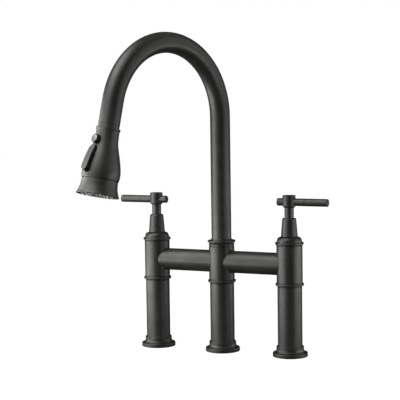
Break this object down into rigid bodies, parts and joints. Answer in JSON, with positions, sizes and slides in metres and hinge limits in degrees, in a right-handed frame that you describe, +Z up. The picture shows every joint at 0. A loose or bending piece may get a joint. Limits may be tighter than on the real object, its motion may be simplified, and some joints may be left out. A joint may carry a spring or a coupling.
{
  "type": "bridge kitchen faucet",
  "caption": "Matte black bridge kitchen faucet: legs joined by a round bridge, quarter-turn lever handles, swivelling gooseneck spout and pull-down spray head.",
  "frame": {"origin": "on the deck, at the axis of the centre leg", "axes": "+X along the bridge to the right handle, +Z up, -Y towards the sink"},
  "size_m": [0.3152, 0.2654, 0.4405],
  "materials": {
    "matte_black": "matte powder-coated black, faint warm tint",
    "spray_shell": "matte black to match the metal",
    "dark_plastic": "dark moulded plastic",
    "button_grey": "satin dark grey",
    "nozzle_rubber": "grey silicone",
    "aerator_grey": "grey moulded mesh",
    "black_rubber": "black rubber",
    "brass": "machined brass",
    "ceramic": "polished white ceramic",
    "steel": "stainless steel",
    "hose_braid": "braided dark grey nylon"
  },
  "bodies": {
    "base": {"base_flange_left": "matte_black", "base_flange_centre": "matte_black", "base_flange_right": "matte_black", "deck_gasket_left": "black_rubber", "deck_gasket_centre": "black_rubber", "deck_gasket_right": "black_rubber", "lower_leg_left": "matte_black", "lower_leg_centre": "matte_black", "lower_leg_right": "matte_black", "bead_ring_left": "matte_black", "bead_ring_centre": "matte_black", "bead_ring_right": "matte_black", "valve_body_left": "matte_black", "valve_body_right": "matte_black", "bonnet_left": "matte_black", "bonnet_right": "matte_black", "supply_riser_left": "brass", "supply_riser_right": "brass", "seat_seal_left": "black_rubber", "seat_seal_right": "black_rubber", "cartridge_body_left": "dark_plastic", "cartridge_body_right": "dark_plastic", "fixed_disc_left": "ceramic", "fixed_disc_right": "ceramic", "bridge_body": "matte_black", "bridge_tube_left": "matte_black", "bridge_tube_right": "matte_black", "mixed_water_tube": "brass", "hose_end_fitting": "brass"},
    "left_handle": {"handle_hub_left": "matte_black", "handle_skirt_left": "matte_black", "lever_rod_left": "matte_black", "grub_screw_left": "steel", "cartridge_stem_left": "brass", "moving_disc_left": "ceramic"},
    "right_handle": {"handle_hub_right": "matte_black", "handle_skirt_right": "matte_black", "lever_rod_right": "matte_black", "grub_screw_right": "steel", "cartridge_stem_right": "brass", "moving_disc_right": "ceramic"},
    "spout": {"gooseneck": "matte_black", "spout_collar": "matte_black", "spout_spigot": "brass", "o_ring_lower": "black_rubber", "o_ring_upper": "black_rubber", "glide_ring": "dark_plastic", "dock_sleeve": "dark_plastic", "spray_hose": "hose_braid"},
    "spray_head": {"spray_grip": "spray_shell", "spray_bell": "spray_shell", "spray_face": "dark_plastic", "nozzle_ring": "nozzle_rubber", "aerator": "aerator_grey", "diverter_core": "dark_plastic", "hose_nut": "brass", "rocker_pin": "steel", "button_spring": "steel"},
    "button": {"spray_button": "button_grey"},
    "rocker": {"mode_rocker": "button_grey"}
  },
  "joints": [
    {"name": "left_handle_turn", "type": "hinge", "parent": "base", "child": "left_handle", "pos_m": [-0.1016, 0, 0], "axis": [0, 0, 1], "range_deg": [0, 90]},
    {"name": "right_handle_turn", "type": "hinge", "parent": "base", "child": "right_handle", "pos_m": [0.1016, 0, 0], "axis": [0, 0, -1], "range_deg": [0, 90]},
    {"name": "spout_swivel", "type": "hinge", "parent": "base", "child": "spout", "pos_m": [0, 0, 0], "axis": [0, 0, 1], "continuous": true},
    {"name": "spray_pull", "type": "slide", "parent": "spout", "child": "spray_head", "axis": [-0.0752, -0.2255, -0.9713], "range_m": [0, 0.22]},
    {"name": "button_press", "type": "slide", "parent": "spray_head", "child": "button", "axis": [0.2936, 0.881, -0.3709], "range_m": [0, 0.0012], "stiffness_N_per_m": 600, "deforming": ["button_spring"]},
    {"name": "rocker_tilt", "type": "hinge", "parent": "spray_head", "child": "rocker", "pos_m": [-0.07427, -0.22284, 0.27834], "axis": [0.9487, -0.3162, 0], "range_deg": [-3, 3]}
  ]
}
